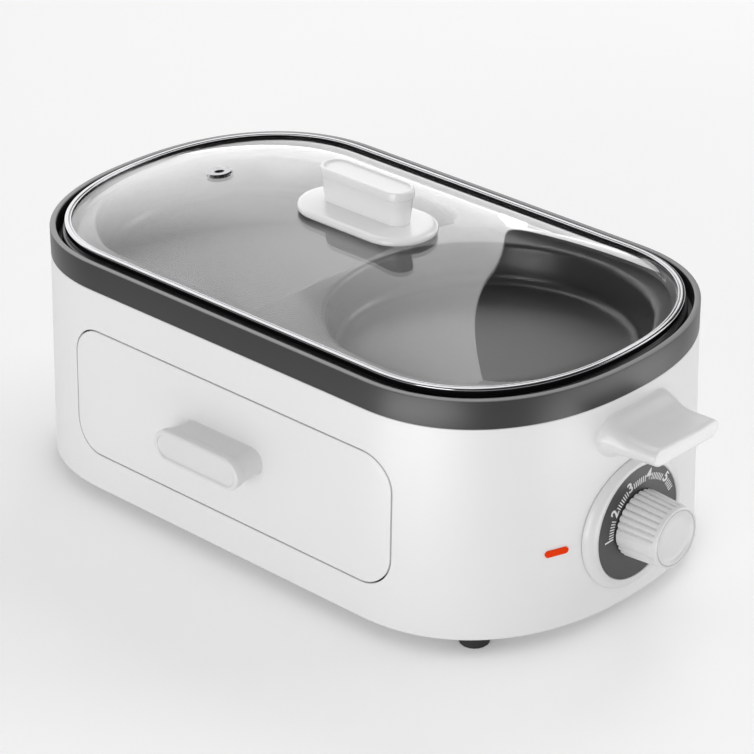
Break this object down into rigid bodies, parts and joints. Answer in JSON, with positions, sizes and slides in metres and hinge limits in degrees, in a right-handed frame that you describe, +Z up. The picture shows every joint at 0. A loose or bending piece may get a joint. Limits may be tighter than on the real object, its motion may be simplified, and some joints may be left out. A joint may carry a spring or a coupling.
{
  "type": "breakfast maker",
  "caption": "Countertop breakfast maker: lidded double pan in an oval housing over a slide-out toasting drawer, with a dial at one end and a ledge handle at each end.",
  "frame": {"origin": "on the floor, under the middle of the whole part's length and depth", "axes": "+Z up, +X along the length towards the control end, -Y towards the drawer's side"},
  "size_m": [0.4344, 0.2436, 0.1881],
  "materials": {
    "white_plastic": "satin white moulding",
    "white_gloss": "glossy white moulding",
    "graphite_plastic": "satin dark grey",
    "black_plastic": "matt black",
    "grey_plastic": "matt light grey",
    "non_stick_pan": "dark non-stick coating on cast aluminium",
    "lid_glass": "clear tempered glass",
    "polished_steel": "polished stainless steel",
    "sheet_steel": "plain sheet steel",
    "fastener_steel": "plated steel",
    "heater_aluminium": "cast aluminium",
    "heater_tube": "matt off-white",
    "amber_lens": "translucent orange",
    "rubber": "matt dark rubber"
  },
  "bodies": {
    "housing": {"outer_shell": "white_plastic", "rim_band": "graphite_plastic", "base_plate": "grey_plastic", "base_screw_front_right": "fastener_steel", "base_screw_back_right": "fastener_steel", "base_screw_back_left": "fastener_steel", "base_screw_front_left": "fastener_steel", "foot_front_right": "rubber", "foot_back_right": "rubber", "foot_back_left": "rubber", "foot_front_left": "rubber", "heat_shield": "sheet_steel", "pan_heater_left": "heater_aluminium", "pan_heater_right": "heater_aluminium", "oven_liner": "sheet_steel", "oven_stand": "sheet_steel", "lower_heaters": "heater_tube", "upper_heaters": "heater_tube", "runner_left": "sheet_steel", "runner_right": "sheet_steel", "dial_bezel": "white_gloss", "dial_plate": "graphite_plastic", "control_switch": "black_plastic", "control_bracket": "sheet_steel", "indicator_lens": "amber_lens", "indicator_lamp": "black_plastic", "side_handle_right": "white_gloss", "side_handle_left": "white_gloss", "right_handle_screw_front": "fastener_steel", "right_handle_screw_back": "fastener_steel", "left_handle_screw_front": "fastener_steel", "left_handle_screw_back": "fastener_steel", "thermal_fuse": "fastener_steel", "terminal_block": "heater_tube", "wiring": "rubber", "cord_gland": "black_plastic"},
    "pan": {"double_pan": "non_stick_pan"},
    "lid": {"lid_glass": "lid_glass", "lid_rim": "polished_steel", "lid_handle_base": "white_gloss", "lid_handle_grip": "white_gloss", "lid_handle_pad": "rubber", "lid_handle_screw_left": "fastener_steel", "lid_handle_screw_right": "fastener_steel", "steam_vent": "polished_steel"},
    "drawer": {"drawer_front": "white_plastic", "drawer_inner_plate": "sheet_steel", "drawer_screw_left": "fastener_steel", "drawer_screw_right": "fastener_steel", "drawer_handle": "white_gloss", "drawer_handle_screw_left": "fastener_steel", "drawer_handle_screw_right": "fastener_steel", "drawer_frame": "sheet_steel", "drawer_tray": "sheet_steel", "wire_rack": "polished_steel"},
    "knob": {"control_knob": "white_plastic", "control_shaft": "fastener_steel"}
  },
  "joints": [
    {"name": "pan_lift", "type": "slide", "parent": "housing", "child": "pan", "axis": [0, 0, 1], "range_m": [0, 0.06]},
    {"name": "lid_lift", "type": "slide", "parent": "pan", "child": "lid", "axis": [0, 0, 1], "range_m": [0, 0.06]},
    {"name": "drawer_slide", "type": "slide", "parent": "housing", "child": "drawer", "axis": [0, -1, 0], "range_m": [0, 0.15]},
    {"name": "knob_turn", "type": "hinge", "parent": "housing", "child": "knob", "pos_m": [0.2, 0.00861, 0.0524], "axis": [-1, 0, 0], "range_deg": [0, 173]}
  ]
}
